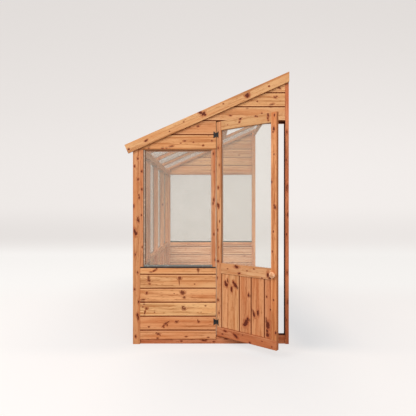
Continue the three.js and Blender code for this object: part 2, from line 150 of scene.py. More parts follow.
class Recipe:
    """The nodes of one material."""

    def __init__(self, name):
        self.material = bpy.data.materials.new(name)
        self.material.use_nodes = True
        self.tree = self.material.node_tree
        self.tree.nodes.clear()
        self.out = self.tree.nodes.new("ShaderNodeOutputMaterial")

    def node(self, kind, settings=None, inputs=None, output=0):
        """Add a node; what its output is worth comes back, or a list where several outputs are named."""
        made = self.tree.nodes.new(kind)
        for key, value in (settings or {}).items():
            setattr(made, key, value)
        for key, value in (inputs or {}).items():
            if isinstance(value, Number):
                self.tree.links.new(value.socket, made.inputs[key])
            else:
                made.inputs[key].default_value = value
        if isinstance(output, tuple):
            return [Number(self, made.outputs[name]) for name in output]
        return Number(self, made.outputs[output])

    def math(self, operation, *inputs):
        return self.node("ShaderNodeMath", {"operation": operation}, dict(enumerate(inputs)))

    def vector(self, operation, *inputs):
        """A number worked out from vectors."""
        return self.node("ShaderNodeVectorMath", {"operation": operation}, dict(enumerate(inputs)), "Value")

    def position(self, place=LEVEL):
        """Object coordinates, in the piece's own place."""
        own = self.node("ShaderNodeTexCoord", output="Object")
        if place is LEVEL:
            return own
        return self.node(
            "ShaderNodeMapping", {"vector_type": "TEXTURE"}, {0: own, "Location": place[0], "Rotation": place[1]}
        )

    def split(self, vector):
        return self.node("ShaderNodeSeparateXYZ", inputs={0: vector}, output=("X", "Y", "Z"))

    def join(self, x, y, z):
        return self.node("ShaderNodeCombineXYZ", inputs={0: x, 1: y, 2: z})

    def mix(self, factor, first, second):
        return self.node("ShaderNodeMix", {"data_type": "RGBA"}, {0: factor, 6: first, 7: second}, 2)

    def fade(self, value, start, end, low=0.0, high=1.0):
        """From low at start to high at end, smoothly."""
        return self.node(
            "ShaderNodeMapRange", {"interpolation_type": "SMOOTHSTEP"}, {0: value, 1: start, 2: end, 3: low, 4: high}
        )

    def noise(self, vector, scale=1.0, detail=2.0, rough=0.5):
        inputs = {"Vector": vector, "Scale": scale, "Detail": detail, "Roughness": rough}
        return self.node("ShaderNodeTexNoise", inputs=inputs)

    def bump(self, strength, distance, height):
        return self.node("ShaderNodeBump", inputs={"Strength": strength, "Distance": distance, "Height": height})

    def surface(self, **inputs):
        inputs = {key.replace("_", " "): value for key, value in inputs.items()}
        shader = self.node("ShaderNodeBsdfPrincipled", inputs=inputs)
        self.tree.links.new(shader.socket, self.out.inputs["Surface"])
        return self.material


KNOT_CORE = linear(88, 30, 15)
KNOT_HALO = linear(162, 78, 44)
JOINT_STAIN = linear(116, 48, 16)

# What late growth, pale early growth and ruddy clouds do to the stain's red, green and blue
DARKER = (0.6, 0.42, 0.3)
PALER = (1.2, 1.36, 1.5)
RUDDIER = (0.97, 0.76, 0.62)

# Noise drawn out along the fibres: repeats a metre across and along them, detail and roughness
LUMPS = (26.0, 5.0, 2.0, 0.5)
STREAKS = (48.0, 2.1, 4.0, 0.65)
FIBRES = (520.0, 14.0, 2.0, 0.6)
CLOUDS = (15.0, 2.3, 2.0, 0.5)
FLECKS = (210.0, 26.0, 1.0, 0.5)

RING_TURNS = 1150.0  # radians of the rings' wave to a metre
TREE_LENGTH = 31.0  # boards are cut from places along the grain up to this far apart
HEART_BEHIND = 0.032  # the heart lies this far behind a piece's middle
NO_JOINT = 1.0  # farther than any joint
JOINT_HIGHLIGHT_BAND = 0.0102  # a painted highlight, a pale band along both sides of a joint, this far from it


def timber(
    name, shade, grain="z", seed=0, place=LEVEL, middle=(0, 0, 0), knots=(), boards=None, small=0.4, joints=(),
    painted_shade_way=None, knot_dark=0.94,
):
    """Stained softwood: growth rings about a heart behind the face, streaks, fibres, knots and dark end grain.

    `grain` is the axis along the fibres, `boards` the first joint, the pitch and the foot of level matched boards,
    and `joints` the places of upright ones. `small` is the share of random small knots. `knots` are ovals on the
    face in millimetres: level place, height, half width, half height, and lean in degrees. Faces that look along
    `painted_shade_way` are darkened as painted shade, as if shadow fell on them.
    """
    r = Recipe(name)
    point = r.position(place)
    x, y, z = r.split(point)
    along, across, deep = {"x": (x, z, y), "y": (y, z, x), "z": (z, x, y)}[grain]
    along_axis, across_axis, deep_axis = {"x": (0, 2, 1), "y": (1, 2, 0), "z": (2, 0, 1)}[grain]
    flat_axis, high_axis, face_axis = (1, 2, 0) if grain == "y" else (0, 2, 1)
    if boards:
        first, pitch, lowest = boards
        number = r.math("FLOOR", (across - first) / pitch)
        inside = across - first - (number + 0.5) * pitch
    else:
        number = 0.0
        inside = across - middle[across_axis]
    draw = r.node("ShaderNodeTexWhiteNoise", {"noise_dimensions": "1D"}, {"W": number + seed * 3.7}, "Color")
    tone, heart, drift = r.split(draw)

    # Where this board was cut from: its own stretch of the tree
    far_along = along + drift * TREE_LENGTH

    def drawn_out(across_scale, along_scale, detail, rough, bend=0.0):
        """Noise that runs with the fibres."""
        where = r.join(across * across_scale + bend, deep * across_scale, far_along * along_scale)
        return r.noise(where, 1.0, detail, rough)

    wander = r.noise(r.join(far_along * 1.1, drift * 7.0, seed * 1.3), 1.0, 1.0) - 0.5
    lumps = drawn_out(*LUMPS) - 0.5
    side = inside + (heart - 0.5) * 0.07 + wander * 0.05
    back = deep - (middle[deep_axis] - HEART_BEHIND) + tone * 0.03
    radius = (side * side + back * back) ** 0.5

    # Knots: small ones scattered by cells, and the named ones
    ragged = r.noise(point, 110.0, 3.0, 0.6) - 0.5
    deep_cells = 0.0 if boards or joints else 5.0
    cells = r.node(
        "ShaderNodeTexVoronoi",
        {"voronoi_dimensions": "3D"},
        {"Vector": r.join(across * 12.5, deep * deep_cells, far_along * 10.5), "Scale": 1.0},
        ("Distance", "Color"),
    )
    chosen, girth, _ = r.split(cells[1])
    absent = r.fade(chosen, small, small + 0.01)
    nearest = cells[0] * 0.085 / (0.0035 + girth * 0.0045) + absent * 30.0
    for flat, high, half_flat, half_high, lean in knots:
        where, size, turn = list(middle), [0.03, 0.03, 0.03], [0.0, 0.0, 0.0]
        where[flat_axis], where[high_axis] = flat * MM, high * MM
        size[flat_axis], size[high_axis] = half_flat * MM, half_high * MM
        turn[face_axis] = math.radians(-lean if face_axis == 1 else lean)
        oval = r.node(
            "ShaderNodeMapping",
            {"vector_type": "TEXTURE"},
            {0: point, "Location": where, "Rotation": turn, "Scale": size},
        )
        nearest = r.math("MINIMUM", nearest, r.vector("LENGTH", oval))
    nearest = nearest + ragged * 1.5
    core = r.fade(nearest, 1.3, 0.8)
    halo = r.fade(nearest, 2.6, 0.9)

    # Rings bend round the knots
    turns = radius * RING_TURNS + lumps * 5.5 + halo * 10.0
    late = (r.math("SINE", turns) * 0.5 + 0.5) ** 2.5
    streaks = drawn_out(*STREAKS, bend=halo * 2.0)
    fibres = drawn_out(*FIBRES)
    clouds = drawn_out(*CLOUDS)
    flecks = drawn_out(*FLECKS, bend=lumps * 3.0)

    dark, pale, ruddy = tinted(shade, DARKER), tinted(shade, PALER), tinted(shade, RUDDIER)
    depth = late * 0.22 + r.fade(streaks, 0.36, 0.7) * 0.85 + (fibres - 0.5) * 0.4
    depth = depth + r.fade(flecks, 0.58, 0.74) * 0.6 - 0.08
    colour = r.mix(r.fade(depth, 0.0, 1.0), pale, dark)
    colour = r.mix(r.fade(clouds, 0.42, 0.68) * 0.5 + tone * 0.3, colour, ruddy)
    colour = r.node("ShaderNodeVectorMath", {"operation": "SCALE"}, {0: colour, "Scale": 0.9 + heart * 0.2})
    colour = r.mix(halo * (0.4 + streaks * 0.5), colour, KNOT_HALO)
    colour = r.mix(core * knot_dark, colour, KNOT_CORE)
    if boards or joints:
        edge = pitch * 0.5 - abs(inside) if boards else NO_JOINT
        for joint in joints:
            edge = r.math("MINIMUM", edge, abs(across - joint))
        # Painted highlight: a pale band along both sides of each joint
        colour = r.mix(r.fade(abs(edge - JOINT_HIGHLIGHT_BAND), 0.006, 0.0015) * 0.6, colour, pale)
        stain = r.fade(edge, 0.0058, 0.0036) * 0.95
        if boards:
            stain = stain * r.fade(across, lowest + 0.012, lowest + 0.016)
        colour = r.mix(stain, colour, JOINT_STAIN)

    # Cut ends drink more stain; the object's own normal keeps them on the piece when the door swings
    normal = r.node("ShaderNodeTexCoord", output="Normal")
    to_frame = placing(place).to_3x3()
    fibre_way = to_frame @ Vector([float(axis == along_axis) for axis in range(3)])
    cut_end = r.fade(abs(r.vector("DOT_PRODUCT", normal, fibre_way)), 0.75, 0.9)
    colour = r.mix(cut_end * 0.45, colour, dark)
    # Painted shade: faces that look along the given way are darkened as if in shadow
    if painted_shade_way:
        facing = r.vector("DOT_PRODUCT", normal, to_frame @ Vector(painted_shade_way))
        colour = r.mix(r.fade(facing, 0.85, 0.95) * 0.75, colour, dark)

    height = late * 0.35 + fibres * 0.9 - core * 0.5
    return r.surface(
        Base_Color=colour,
        Roughness=0.56 + fibres * 0.2,
        Specular_IOR_Level=0.18,
        Normal=r.bump(0.35, 0.6 * MM, height),
    )


def clear_glass(name, body, alpha):
    """Horticultural glass: see-through, with a pale veil that thickens where it is looked along, and faint waves."""
    r = Recipe(name)
    point = r.position()
    waves = r.noise(point, 3.0, 1.0)
    haze = r.noise(point, 9.0, 3.0)
    along = r.node("ShaderNodeLayerWeight", inputs={"Blend": 0.5}, output="Facing")
    return r.surface(
        Base_Color=body,
        Roughness=0.04 + haze * 0.05,
        Alpha=alpha + (haze - 0.5) * 0.05 + r.fade(along, 0.45, 1.0) * 0.3,
        Normal=r.bump(0.05, MM, waves),
        IOR=1.45,
    )


def metal(name, shade, metallic, rough, gloss=0.5):
    """Painted or bare metal with a fine grain and faint rubbed patches; it serves for seals too, for dark putty and
    draught strips whose colour is painted shade, and for a pale strip that is a painted highlight.
    """
    r = Recipe(name)
    point = r.position()
    patches = r.noise(point, 60.0, 3.0)
    specks = r.noise(point, 900.0, 2.0)
    lighter = tuple(min(1.0, level * 1.9 + 0.01) for level in shade[:3]) + (1.0,)
    return r.surface(
        Base_Color=r.mix(r.fade(patches, 0.5, 0.75), shade, lighter),
        Roughness=rough + patches * 0.2,
        Metallic=metallic,
        Specular_IOR_Level=gloss,
        Normal=r.bump(0.3, 0.3 * MM, specks),
    )


# ---- Building pieces ----


def block(bm, low, high):
    """A squared length of stock in the mesh, from its lowest corner to its highest."""
    low, high = Vector(low), Vector(high)
    made = bmesh.ops.create_cube(bm, size=1.0)["verts"]
    bmesh.ops.scale(bm, vec=high - low, verts=made)
    bmesh.ops.translate(bm, vec=(low + high) / 2, verts=made)
    return made


def ease(bm, verts, width, segments=1, keep=lambda co: True):
    """Bevel the edges of these vertices whose two ends pass the test, or else all of them."""
    edges = {edge for vert in verts for edge in vert.link_edges if all(keep(end.co) for end in edge.verts)}
    bmesh.ops.bevel(
        bm, geom=list(edges), offset=width, segments=segments, affect="EDGES", profile=0.5, material=-1,
        clamp_overlap=True,
    )


def put(name, bm, material, body, place=LEVEL, replaced=(), smooth=False):
    """Finish a mesh as a piece of the greenhouse that rides on a body."""
    bmesh.ops.remove_doubles(bm, verts=bm.verts, dist=1e-6)
    bmesh.ops.recalc_face_normals(bm, faces=bm.faces)
    if place is not LEVEL:
        bmesh.ops.transform(bm, matrix=placing(place), verts=bm.verts)
    mesh = bpy.data.meshes.new(name)
    bm.to_mesh(mesh)
    bm.free()
    for face in mesh.polygons:
        face.use_smooth = smooth
    for one in material if isinstance(material, list) else [material]:
        mesh.materials.append(one)
    piece = bpy.data.objects.new(name, mesh)
    bpy.context.collection.objects.link(piece)
    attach(piece, body)
    if replaced:
        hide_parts(*replaced)


def dress(node, material, soften=1.6):
    """Give a solid of the model its material and edges softened by so many millimetres."""
    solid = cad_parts[node]
    for slot in solid.material_slots:
        slot.material = material
    if soften:
        solid.modifiers.new("weld", "WELD").merge_threshold = 0.05 * MM
        bevel = solid.modifiers.new("soft_edges", "BEVEL")
        bevel.width, bevel.segments, bevel.limit_method = soften * MM, 2, "ANGLE"
        bevel.angle_limit = math.radians(30)


def middle_of(node, place=LEVEL):
    """The middle of a solid's box, in its own place."""
    back = placing(place).inverted()
    points = [back @ vert.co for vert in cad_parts[node].data.vertices]
    return tuple((min(p[i] for p in points) + max(p[i] for p in points)) / 2 for i in range(3))


KNOT_WIDER, KNOT_TALLER = 1.2, 1.15  # the framing's knots against the sizes read off the picture


def dress_timber(node, shade, grain, seed, place=LEVEL, knots=(), small=0.4, soften=1.6, painted_shade_way=None):
    """Give a solid its own timber."""
    knots = [
        (flat, high, half_flat * KNOT_WIDER, half_high * KNOT_TALLER, lean)
        for flat, high, half_flat, half_high, lean in knots
    ]
    wood = timber(
        node + "_wood", shade, grain, seed, place, middle_of(node, place), knots, small=small, painted_shade_way=painted_shade_way
    )
    dress(node, wood, soften)


# ---- Colours of the stain ----

CLADDING = linear(212, 152, 101)
POST = linear(209, 142, 93)
STUD = linear(198, 131, 88)
BARGE = linear(215, 158, 106)
DOOR_WOOD = linear(207, 144, 98)
LATCH_WOOD = linear(210, 142, 92)
TOP_RAIL = linear(203, 151, 102)
LOCK_RAIL = linear(204, 153, 109)
DOOR_FOOT = linear(190, 120, 80)
RAIL = linear(194, 118, 78)
WALL_POST = linear(190, 112, 72)
DOOR_BOARDS = linear(201, 134, 90)
KNOB = linear(230, 180, 140)

# How each board's stain departs from its field's, from the ground up or from the hinges on
BOARD_TONES = {
    "lower": [
        (1.02, 0.95, 0.98), (0.97, 0.84, 0.82), (1.17, 1.27, 1.28), (1.0, 0.93, 0.91), (1, 1, 1), (1.08, 1.07, 1.06),
    ],
    "upper": [
        (0.89, 0.87, 0.84), (0.88, 0.84, 0.86), (0.92, 0.96, 1.02), (1.07, 1.1, 1.08), (1, 1, 1), (1, 1, 1),
    ],
}
# The far gable's boards are made paler as painted light, which brightens them as seen inside the greenhouse
FAR_PAINTED_LIGHT_TONES = {"lower": (0.96, 1.05, 1.3), "upper": (1.1, 1.12, 1.1)}
DOOR_TONES = [(1.13, 1.27, 1.28), (1.08, 1.27, 1.28), (1.02, 1.0, 0.96), (0.9, 0.87, 0.82), (0.86, 0.84, 0.84)]

# ---- Matched boards ----

BOARD_EASE = 0.0036  # half the width of the V between two boards
BOARD_GAP = 0.0002
JOINTS_COUNTED = 24  # enough to reach the ridge
THINNEST_BOARD = 0.008
KNOT_REACH = 0.008  # knots reach this far over a joint
MATCHED = (FIRST_JOINT, BOARD_PITCH)


def board_edges(foot, top):
    """Heights of the joints of a field of level boards, with its foot and top."""
    joints = [FIRST_JOINT + BOARD_PITCH * step for step in range(JOINTS_COUNTED)]
    return [foot] + [joint for joint in joints if foot + THINNEST_BOARD < joint < top] + [top]


def matched_board(bm, low, high, row):
    """One board that looks along -Y, eased round its front, so that two side by side make a V."""
    made = block(bm, low, high)
    for face in {face for vert in made for face in vert.link_faces}:
        face.material_index = row
    ease(bm, made, BOARD_EASE, keep=lambda co: co.y < low[1] + TOUCH)


def board_field(bm, left, right, foot, top, front):
    """Level boards nailed edge to edge, with a V at each joint; they look along -Y."""
    edges = board_edges(foot, top)
    for row, (low, high) in enumerate(zip(edges, edges[1:])):
        matched_board(bm, (left, front, low + BOARD_GAP), (right, front + BOARD_THICK, high - BOARD_GAP), row)


def whole(bm):
    return bm.verts[:] + bm.edges[:] + bm.faces[:]


def cut_field(bm, point, normal):
    """Saw a field of boards along a plane and close the cut."""
    cut = bmesh.ops.bisect_plane(bm, geom=whole(bm), plane_co=point, plane_no=normal, clear_outer=True)
    edges = [item for item in cut["geom_cut"] if isinstance(item, bmesh.types.BMEdge)]
    bmesh.ops.holes_fill(bm, edges=edges, sides=0)


def cut_doorway(bm):
    """Take out the boards over the doorway, below the head of the door."""
    bmesh.ops.bisect_plane(bm, geom=whole(bm), plane_co=(HINGE_STUD_OUT, 0, 0), plane_no=(1, 0, 0))
    bmesh.ops.bisect_plane(bm, geom=whole(bm), plane_co=(0, 0, DOOR_HEAD), plane_no=(0, 0, 1))
    gone = [
        face for face in bm.faces
        if face.calc_center_median().x > HINGE_STUD_OUT and face.calc_center_median().z < DOOR_HEAD
    ]
    bmesh.ops.delete(bm, geom=gone, context="FACES")
    rims = [edge for edge in bm.edges if edge.is_boundary]
    bmesh.ops.holes_fill(bm, edges=rims, sides=0)


def gable_boards(end, seed, right, lower_knots=(), upper_knots=(), door_step=False):
    """The two fields of one gable; the far gable's are the same, turned round to face +Y."""
    left = FRONT_IN + SKIN
    side = -1 if end == "near" else 1
    for field, foot, top, knots in (
        ("lower", CLADDING_FOOT, CLADDING_TOP, lower_knots),
        ("upper", GABLE_FOOT, roof_height(HOUSE, STOCK_THIN), upper_knots),
    ):
        bm = bmesh.new()
        over_door = door_step and field == "upper"
        board_field(bm, left, NEAR_POST_IN - SKIN if over_door else right, foot, top, NEAR)
        if field == "upper":
            slope_out = Vector((-math.sin(PITCH), 0, math.cos(PITCH)))
            cut_field(bm, (FRONT_IN, 0, roof_height(FRONT_IN, STOCK_THIN - SKIN)), slope_out)
        if over_door:
            cut_doorway(bm)
        if side > 0:
            for vert in bm.verts:
                vert.co.y = -vert.co.y
        edges = board_edges(foot, top)
        middle = ((left + right) / 2, side * (FAR - 0.005), 0)
        woods = []
        for row, (low, high) in enumerate(zip(edges, edges[1:])):
            if row and not knots:
                woods.append(woods[0])
                continue
            own = [knot for knot in knots if low - KNOT_REACH < knot[1] * MM < high + KNOT_REACH]
            tone = BOARD_TONES[field][row] if end == "near" else FAR_PAINTED_LIGHT_TONES[field]
            woods.append(timber(
                f"{end}_{field}_board_{row + 1}" if knots else f"{end}_{field}_boards", tinted(CLADDING, tone), "x",
                seed + (field == "upper"), LEVEL, middle, own, (*MATCHED, foot), 0.0 if knots else 0.35,
                knot_dark=0.72,
            ))
        put(
            f"{end}_{field}_matched_boards", bm, woods, "frame",
            replaced=(f"{end}_{field}_cladding",),
        )


# Knots of the door's gable, read off its boards
LOWER_KNOTS = [
    (108, 562, 10, 5, 0), (135, 575, 14, 5, 25), (152, 590, 5, 5, 0), (477, 584, 7, 10, 10), (478, 566, 3, 9, 0),
    (90, 522, 7, 20, 5), (92, 498, 11, 8, 0), (98, 471, 7, 5, 0), (333, 516, 11, 11, -20), (329, 490, 3, 18, 5),
    (75, 400, 8, 8, 0), (357, 402, 14, 13, 20), (346, 411, 5, 10, -30), (369, 367, 8, 8, 0), (44, 345, 16, 7, 10),
    (41, 330, 18, 7, 0), (54, 320, 8, 13, 0), (74, 279, 8, 7, 0), (45, 292, 6, 4, 0), (61, 247, 5, 15, -12),
    (356, 284, 6, 13, 15), (370, 277, 12, 8, 30), (364, 294, 8, 4, 0), (136, 250, 4, 4, 0), (535, 300, 5, 4, 0),
    (222, 160, 10, 8, 25), (207, 143, 10, 5, 40), (240, 172, 12, 4, 30), (236, 150, 4, 8, 0), (308, 175, 10, 7, 0),
    (320, 181, 5, 4, 0), (481, 175, 8, 7, 0), (474, 186, 3, 5, 0), (92, 135, 6, 5, 0), (210, 130, 4, 4, 0),
    (166, 80, 10, 7, 10), (176, 72, 9, 3, -35), (152, 88, 6, 4, 30), (160, 47, 6, 5, 0), (384, 60, 8, 4, 0),
    (556, 52, 8, 4, 0), (290, 395, 3, 3, 0), (450, 470, 4, 3, 0), (220, 545, 4, 3, 0), (500, 250, 3, 3, 0),
]
UPPER_KNOTS = [
    (262, 1543, 14, 6, 15), (276, 1550, 8, 4, 0), (230, 1536, 8, 5, 0), (372, 1590, 10, 5, 0), (199, 1535, 9, 6, 0),
    (92, 1536, 8, 6, 0), (516, 1554, 7, 5, 0), (340, 1572, 5, 3, 0), (440, 1580, 5, 4, 0), (477, 1705, 8, 6, 20),
    (585, 1592, 7, 6, 0), (560, 1630, 4, 4, 0), (1079, 1931, 10, 6, -15), (1092, 1938, 6, 4, 0),
    (1052, 1872, 15, 7, 20), (1040, 1858, 9, 5, -20), (1113, 2003, 10, 6, -30), (1098, 1807, 6, 9, 0),
    (975, 1800, 5, 9, 0), (730, 1790, 8, 5, 0), (860, 1846, 6, 4, 0), (640, 1668, 4, 4, 0), (300, 1650, 4, 4, 0),
    (940, 1900, 5, 4, 0), (410, 1700, 5, 4, 10),
]

gable_boards("near", 11, HINGE_STUD_OUT, LOWER_KNOTS, UPPER_KNOTS, door_step=True)
gable_boards("far", 21, FAR_BOARDS_END)

LONG_WALL_END = 1.1027  # the long wall's boards run from minus this to this


def front_boards():
    """The long wall's boards, which look along -X."""
    bm = bmesh.new()
    board_field(bm, -LONG_WALL_END, LONG_WALL_END, CLADDING_FOOT, CLADDING_TOP, OUTSIDE)
    swap_x_and_y = Matrix(((0, 1, 0, 0), (1, 0, 0, 0), (0, 0, 1, 0), (0, 0, 0, 1)))
    bmesh.ops.transform(bm, matrix=swap_x_and_y, verts=bm.verts)
    for face in bm.faces:
        face.material_index = 0
    middle = (OUTSIDE + 0.005, 0, 0)
    wood = timber(
        "front_boards", CLADDING, "y", 31, LEVEL, middle, boards=(*MATCHED, CLADDING_FOOT), small=0.55
    )
    put("front_matched_boards", bm, wood, "frame", replaced=("front_cladding",))


front_boards()

DOOR_BOARD_KNOTS = [
    (81, 492, 9, 14, 0), (89, 475, 14, 16, 20), (105, 504, 5, 15, 15), (141, 448, 9, 19, 0), (162, 497, 9, 14, 35),
    (180, 480, 12, 17, 45), (197, 465, 9, 10, 30), (306, 419, 14, 8, 0), (300, 430, 5, 11, 0),
    (275, 216, 15, 26, -20), (263, 198, 15, 10, 0), (306, 241, 8, 9, 0), (288, 245, 8, 14, -20),
    (333, 313, 7, 16, 25), (344, 290, 9, 16, 25), (380, 307, 8, 21, 0), (497, 369, 8, 11, 20), (485, 346, 5, 6, 0),
    (462, 232, 16, 23, 0), (448, 257, 8, 12, 0), (460, 164, 12, 13, 0), (446, 278, 6, 8, 0), (456, 192, 8, 12, 0),
    (452, 434, 5, 6, 0),
]
DOOR_JOINTS = [0.04655, 0.1046, 0.2134, 0.3205, 0.4342, 0.49295]
STAINED_JOINTS = (DOOR_JOINTS[0], *DOOR_JOINTS[2:5])  # the second joint hardly shows
DOOR_BOARD_FOOT = 0.1383
DOOR_BOARD_HEAD = 0.5587
DOOR_BOARD_THICK = 0.011
DOOR_BOARD_FACE = DOOR_FACE + 0.008


def door_leaf_boards():
    """Upright matched boards of the door, set back between its stiles."""
    bm = bmesh.new()
    woods = []
    for row, (low, high, tone) in enumerate(zip(DOOR_JOINTS, DOOR_JOINTS[1:], DOOR_TONES)):
        matched_board(
            bm,
            (low + BOARD_GAP, DOOR_BOARD_FACE, DOOR_BOARD_FOOT),
            (high - BOARD_GAP, DOOR_BOARD_FACE + DOOR_BOARD_THICK, DOOR_BOARD_HEAD),
            row,
        )
        own = [knot for knot in DOOR_BOARD_KNOTS if low - 0.01 < knot[0] * MM < high + 0.01]
        seams = [joint for joint in STAINED_JOINTS if low - TOUCH < joint < high + TOUCH]
        middle = ((low + high) / 2, DOOR_BOARD_FACE + 0.005, 0.35)
        woods.append(timber(
            f"door_board_{row + 1}", tinted(DOOR_BOARDS, tone), "z", 41 + row * 5, DOOR, middle, own, small=0.0,
            joints=seams,
        ))
    put("door_matched_boards", bm, woods, "door", DOOR, ("door_boards",))


door_leaf_boards()

# ---- Framing that keeps its solids ----

CORNER_KNOTS = [
    (2, 228, 7, 12, 0), (8, 205, 5, 15, 0), (8, 1289, 6, 10, 0), (17, 1147, 6, 11, 0), (14, 1165, 4, 8, 0),
    (-26, 1079, 5, 12, 0), (10, 968, 8, 15, 10), (5, 985, 5, 12, -20), (-18, 880, 8, 19, 15), (-8, 862, 8, 15, -20),
    (-20, 1392, 5, 8, 0), (-14, 700, 5, 10, 0), (4, 560, 5, 9, 0), (-20, 430, 5, 9, 0), (12, 330, 5, 11, 0),
    (-12, 60, 6, 9, 0), (6, 1450, 5, 8, 0),
]
CORNER_STUD_KNOTS = [(37, 1352, 5, 8, 0), (37, 1211, 5, 9, 0), (40, 760, 4, 7, 0)]
RAIL_KNOTS = [
    (260, 37, 12, 5, 0), (428, 37, 11, 4, 0), (522, 24, 17, 6, -15), (540, 30, 8, 4, 20), (85, 36, 8, 5, 0),
    (150, 38, 7, 4, 0), (345, 20, 6, 4, 0), (600, 14, 9, 5, 0), (700, 40, 9, 5, 0), (1080, 40, 8, 5, 0),
]
WALL_POST_KNOTS = [
    (1172, 1225, 9, 28, 0), (1167, 1440, 6, 16, 0), (1177, 1010, 6, 18, 0), (1169, 860, 5, 13, 0),
    (1174, 560, 7, 15, 0), (1170, 1660, 6, 13, 0), (1177, 330, 6, 15, 0), (1168, 190, 5, 11, 0),
]
HINGE_STUD_KNOTS = [
    (600, 1128, 5, 13, 0), (594, 1100, 4, 9, 0), (613, 661, 6, 8, 0), (598, 1490, 5, 8, 0), (603, 1350, 3, 6, 0),
    (601, 860, 4, 8, 0),
]
dress_timber("near_corner_post", POST, "z", 51, knots=CORNER_KNOTS, small=0.0, soften=0.5)
dress_timber("near_corner_stud", STUD, "z", 52, knots=CORNER_STUD_KNOTS, small=0.1, soften=0.5)
dress_timber("near_bottom_rail", RAIL, "x", 53, knots=RAIL_KNOTS, small=0.2)
dress_timber("near_wall_post", WALL_POST, "z", 54, knots=WALL_POST_KNOTS, small=0.2)
dress_timber("hinge_stud", STUD, "z", 55, knots=HINGE_STUD_KNOTS, small=0.1)

BARGE_KNOTS = [
    (52, -4, 9, 5, 0), (66, 2, 5, 3, 0), (-96, -10, 7, 6, 0), (-112, -20, 4, 3, 0), (528, 24, 12, 8, -30),
    (546, 6, 14, 9, 35), (556, -8, 7, 6, 0), (917, -5, 12, 12, 0), (908, 4, 8, 5, 40), (926, 6, 5, 8, 0),
    (250, -12, 4, 3, 0), (720, 14, 4, 3, 0), (1100, -6, 5, 4, 0), (380, 10, 4, 3, 0),
]
# The near barge board's underside is darkened as painted shade
dress_timber("near_barge_board", BARGE, "x", 90, SLOPE, BARGE_KNOTS, 0.0, painted_shade_way=(0, 0, -1))
dress_timber("far_barge_board", BARGE, "x", 91, SLOPE)
dress_timber("vent_frame", POST, "y", 99, VENT)

# The plain framing, in runs that share a grain: each piece's seed counts on from its run's first
for grain, first_seed, place, shade, nodes in (
    ("x", 56, LEVEL, STUD, ("near_window_sill", "near_window_head", "door_lintel")),
    ("y", 60, LEVEL, POST, (
        "front_bottom_rail", "front_sill_rail", "front_top_rail", "ridge_rail", "vent_trimmer",
    )),
    ("z", 70, LEVEL, STUD, ("front_stud_1", "front_stud_2", "front_stud_3")),
    ("z", 73, LEVEL, POST, ("far_corner_post",)),
    ("z", 74, LEVEL, STUD, ("far_corner_stud",)),
    ("z", 75, LEVEL, POST, ("far_wall_post",)),
    ("x", 80, LEVEL, POST, ("far_bottom_rail", "far_window_sill", "far_window_head")),
    ("x", 92, SLOPE, POST, ("near_gable_rafter", "far_gable_rafter", "rafter_1", "rafter_2", "rafter_3")),
):
    for order, node in enumerate(nodes):
        dress_timber(node, shade, grain, first_seed + order, place)

# The door's knots, in its own place
HINGE_STILE_KNOTS = [
    (17, 1532, 5, 9, 0), (17, 1225, 5, 9, 0), (18, 1084, 8, 10, 0), (12, 1096, 5, 6, 0), (24, 1070, 4, 9, 0),
    (12, 893, 5, 10, 0), (16, 651, 9, 8, 0), (16, 349, 6, 9, 0), (30, 960, 3, 7, 0), (22, 760, 3, 7, 0),
    (28, 1400, 3, 7, 0), (8, 520, 4, 7, 0), (26, 250, 4, 8, 0), (14, 160, 5, 7, 0),
]
LATCH_STILE_KNOTS = [
    (516, 1619, 7, 13, 0), (510, 1600, 4, 8, 0), (501, 1248, 4, 10, 0), (526, 1068, 7, 9, 0), (520, 1084, 4, 8, 0),
    (531, 194, 5, 10, 0), (512, 900, 3, 7, 0), (518, 1440, 3, 6, 0), (514, 420, 4, 7, 0), (505, 760, 3, 7, 0),
    (522, 1715, 4, 9, 0),
]
TOP_RAIL_KNOTS = [
    (228, 1731, 9, 8, 25), (221, 1707, 6, 6, 0), (240, 1737, 5, 4, 0), (365, 1730, 7, 4, 0), (380, 1726, 4, 4, 0),
    (470, 1722, 6, 12, 10), (468, 1700, 5, 7, 0), (472, 1684, 4, 5, 0), (110, 1700, 4, 3, 0),
]
LOCK_RAIL_KNOTS = [
    (194, 622, 16, 8, 0), (185, 630, 7, 5, 30), (217, 577, 9, 6, 0), (468, 590, 8, 16, 0), (488, 570, 12, 6, 0),
    (289, 602, 5, 3, 0), (419, 564, 8, 3, 0), (110, 600, 5, 3, 0), (350, 622, 5, 3, 0),
]
FOOT_RAIL_KNOTS = [
    (85, 119, 12, 5, 0), (187, 101, 17, 8, -30), (171, 110, 9, 5, -30), (196, 90, 6, 4, 0), (314, 78, 7, 7, 0),
    (60, 92, 8, 4, 0), (420, 112, 5, 3, 0), (250, 122, 5, 3, 0), (500, 90, 4, 4, 0),
]
# The stiles' faces that look along the door's +X, such as their reveals beside the glass, are darkened as painted shade
dress_timber("door_hinge_stile", DOOR_WOOD, "z", 101, DOOR, HINGE_STILE_KNOTS, 0.0, painted_shade_way=(1, 0, 0))
dress_timber("door_latch_stile", LATCH_WOOD, "z", 102, DOOR, LATCH_STILE_KNOTS, 0.0, painted_shade_way=(1, 0, 0))
dress_timber("door_top_rail", TOP_RAIL, "x", 103, DOOR, TOP_RAIL_KNOTS, 0.0)
dress_timber("door_lock_rail", LOCK_RAIL, "x", 104, DOOR, LOCK_RAIL_KNOTS, 0.0)
dress_timber("door_bottom_rail", DOOR_FOOT, "x", 105, DOOR, FOOT_RAIL_KNOTS, 0.0)

# ---- Glass, iron and the knob ----

PANE = clear_glass("pane_glass", linear(194, 188, 173), 0.2)
IRON = metal("black_ironwork", linear(34, 32, 32), 0.55, 0.4)
for node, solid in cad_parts.items():
    if "glass" in node:
        dress(node, PANE, 0)
        solid.visible_shadow = False
    elif "hinge_frame_leaf" in node or "hinge_door_leaf" in node or node in ("vent_hinge", "vent_stay"):
        dress(node, IRON, 0.4)

